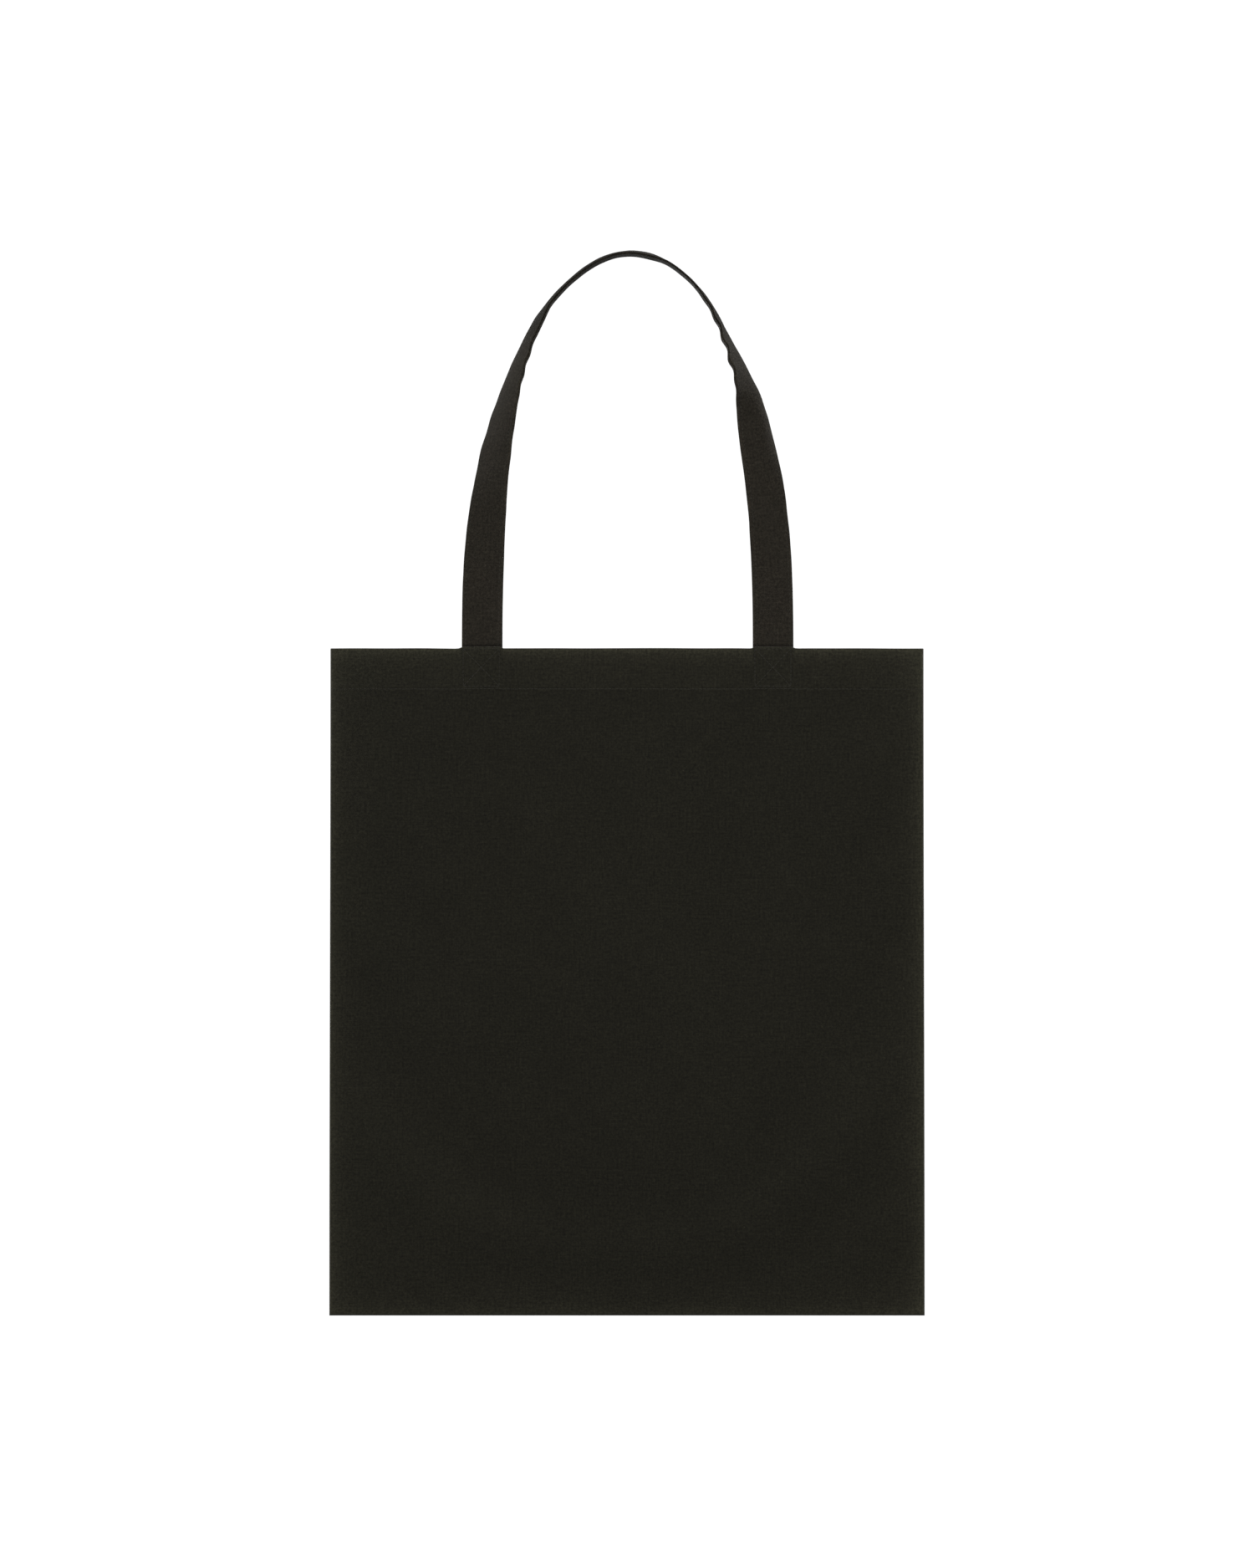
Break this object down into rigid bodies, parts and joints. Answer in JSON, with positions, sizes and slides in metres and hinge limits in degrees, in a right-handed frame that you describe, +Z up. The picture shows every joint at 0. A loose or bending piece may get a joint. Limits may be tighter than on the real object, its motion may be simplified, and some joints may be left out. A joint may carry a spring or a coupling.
{
  "type": "tote bag",
  "caption": "Flat rectangular cotton shopping bag with an open hemmed mouth and a pair of long carrying straps box-stitched inside the hem.",
  "frame": {"origin": "the carrying point: under the tops of the two straps, midway between them, where a hook or a hand goes", "axes": "+X to the right along the mouth, +Y from the front panel to the back panel, +Z up from the bottom seam to the straps"},
  "size_m": [0.375, 0.053, 0.6705],
  "materials": {
    "canvas": "matte plain-weave cotton, near black with a warm cast",
    "strap": "matte plain-weave cotton folded into four layers, near black",
    "thread": "matte spun polyester sewing thread, near black"
  },
  "bodies": {
    "seams": {"left_side_seam": "canvas", "right_side_seam": "canvas", "bottom_seam": "canvas", "left_overlock_thread": "thread", "right_overlock_thread": "thread", "bottom_overlock_thread": "thread"},
    "front_panel": {"front_panel": "canvas", "front_hem_stitching": "thread", "front_handle_ends": "strap", "front_left_box_stitch": "thread", "front_right_box_stitch": "thread"},
    "back_panel": {"back_panel": "canvas", "back_hem_stitching": "thread", "back_handle_ends": "strap", "back_left_box_stitch": "thread", "back_right_box_stitch": "thread"},
    "front_handle": {"front_handle": "strap", "front_handle_stitching": "thread"},
    "back_handle": {"back_handle": "strap", "back_handle_stitching": "thread"}
  },
  "joints": [
    {"name": "front_mouth", "type": "hinge", "parent": "seams", "child": "front_panel", "pos_m": [0, 0, -0.6685], "axis": [1, 0, 0], "range_deg": [0, 4], "stiffness_Nm_per_rad": 1, "springref_deg": -0.57},
    {"name": "back_mouth", "type": "hinge", "parent": "seams", "child": "back_panel", "pos_m": [0, 0, -0.6685], "axis": [-1, 0, 0], "range_deg": [0, 4], "stiffness_Nm_per_rad": 1, "springref_deg": -0.57},
    {"name": "front_handle_fold", "type": "hinge", "parent": "front_panel", "child": "front_handle", "pos_m": [0, -0.0196, -0.2485], "axis": [1, 0, 0], "range_deg": [0, 165]},
    {"name": "back_handle_fold", "type": "hinge", "parent": "back_panel", "child": "back_handle", "pos_m": [0, 0.0196, -0.2485], "axis": [-1, 0, 0], "range_deg": [0, 165]}
  ]
}
